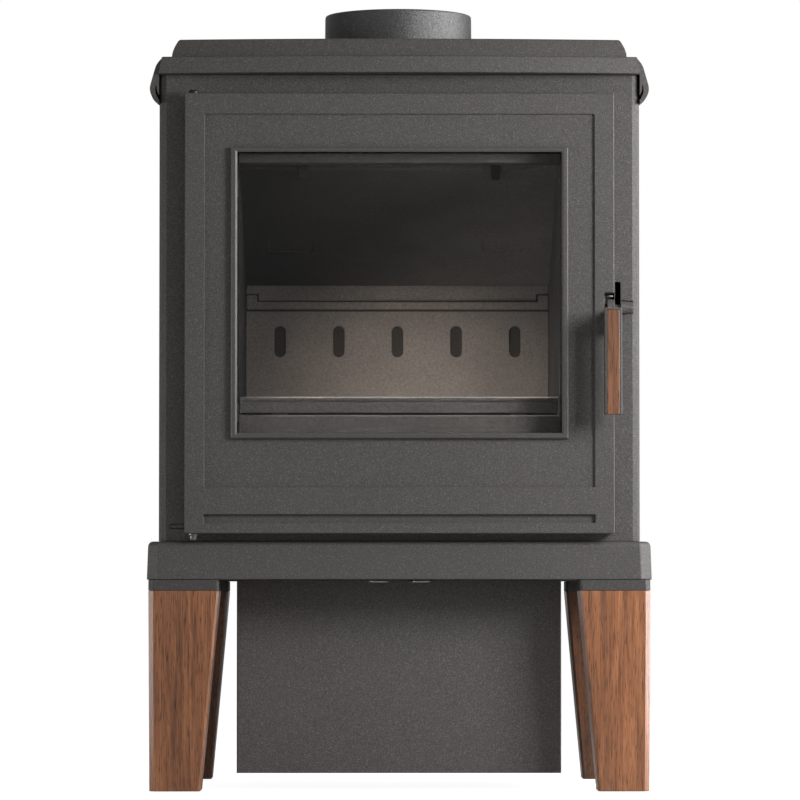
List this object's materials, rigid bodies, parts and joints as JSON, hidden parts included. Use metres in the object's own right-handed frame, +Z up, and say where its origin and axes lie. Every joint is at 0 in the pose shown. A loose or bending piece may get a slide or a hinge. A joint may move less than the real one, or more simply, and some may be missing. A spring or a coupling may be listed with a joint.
{
  "type": "wood burning stove",
  "caption": "Free-standing cast wood burning stove on tapered wooden legs, with a hinged glazed door, a lift handle, air slides and a top flue collar.",
  "frame": {"origin": "on the floor under the middle of the bounding box", "axes": "+Z up, the door faces -Y, +X to the right seen from the front"},
  "size_m": [0.5044, 0.4746, 0.7977],
  "materials": {
    "graphite_paint": "fine-grained matt heatproof paint on castings",
    "collar_paint": "smooth satin heatproof paint",
    "firebox_iron": "dark heat-stained cast iron",
    "cast_lining": "grainy moulded lining, warm grey",
    "walnut": "oiled walnut, grain along the piece",
    "dark_steel": "blackened steel",
    "bright_steel": "plain turned steel",
    "ceramic_glass": "clear heatproof ceramic glass",
    "rope_seal": "black woven glass rope"
  },
  "bodies": {
    "stove": {"base_plate": "graphite_paint", "front_plate": "graphite_paint", "side_panel_left": "graphite_paint", "side_panel_right": "graphite_paint", "rear_panel": "graphite_paint", "rear_flue_cover": "graphite_paint", "top_plate": "graphite_paint", "top_tier": "graphite_paint", "plinth_screen": "graphite_paint", "leg_cap_front_left": "graphite_paint", "leg_cap_front_right": "graphite_paint", "leg_cap_rear_left": "graphite_paint", "leg_cap_rear_right": "graphite_paint", "flue_collar": "collar_paint", "flue_flange": "collar_paint", "firebox_wall_left": "firebox_iron", "firebox_wall_right": "firebox_iron", "firebox_wall_rear": "firebox_iron", "hearth_plate": "firebox_iron", "grate": "firebox_iron", "air_wash_plate": "firebox_iron", "log_guard": "firebox_iron", "lining_left": "cast_lining", "lining_right": "cast_lining", "lining_rear": "cast_lining", "front_brick": "cast_lining", "rear_ledge": "cast_lining", "baffle": "cast_lining", "leg_front_left": "walnut", "leg_front_right": "walnut", "leg_rear_left": "walnut", "leg_rear_right": "walnut", "hinge_bracket_lower": "dark_steel", "hinge_bracket_upper": "dark_steel", "air_box": "dark_steel", "slide_strap": "dark_steel", "ash_pan": "dark_steel", "rear_cover_bolt": "dark_steel"},
    "door": {"door_frame": "graphite_paint", "window_bead": "graphite_paint", "door_glass": "ceramic_glass", "glass_gasket": "rope_seal", "door_seal": "rope_seal", "glass_clip_lower_left": "dark_steel", "glass_clip_lower_right": "dark_steel", "glass_clip_upper_left": "dark_steel", "glass_clip_upper_right": "dark_steel", "hinge_pin_upper": "bright_steel", "hinge_pin_lower": "bright_steel", "handle_pivot_pin": "bright_steel", "handle_stop_pin": "bright_steel"},
    "handle": {"handle_lever": "graphite_paint", "handle_grip": "walnut"},
    "primary_slide": {"primary_air_slide": "dark_steel", "primary_air_knob": "bright_steel"},
    "secondary_slide": {"secondary_air_slide": "dark_steel", "secondary_air_knob": "bright_steel"}
  },
  "joints": [
    {"name": "door_hinge", "type": "hinge", "parent": "stove", "child": "door", "pos_m": [-0.2055, -0.19075, 0.4757], "axis": [0, 0, -1], "range_deg": [0, 100]},
    {"name": "handle_pivot", "type": "hinge", "parent": "door", "child": "handle", "pos_m": [0.211, -0.18775, 0.4824], "axis": [-1, 0, 0], "range_deg": [0, 45]},
    {"name": "primary_air_slide_pull", "type": "slide", "parent": "stove", "child": "primary_slide", "axis": [0, -1, 0], "range_m": [0, 0.02]},
    {"name": "secondary_air_slide_pull", "type": "slide", "parent": "stove", "child": "secondary_slide", "axis": [0, -1, 0], "range_m": [0, 0.02]}
  ]
}
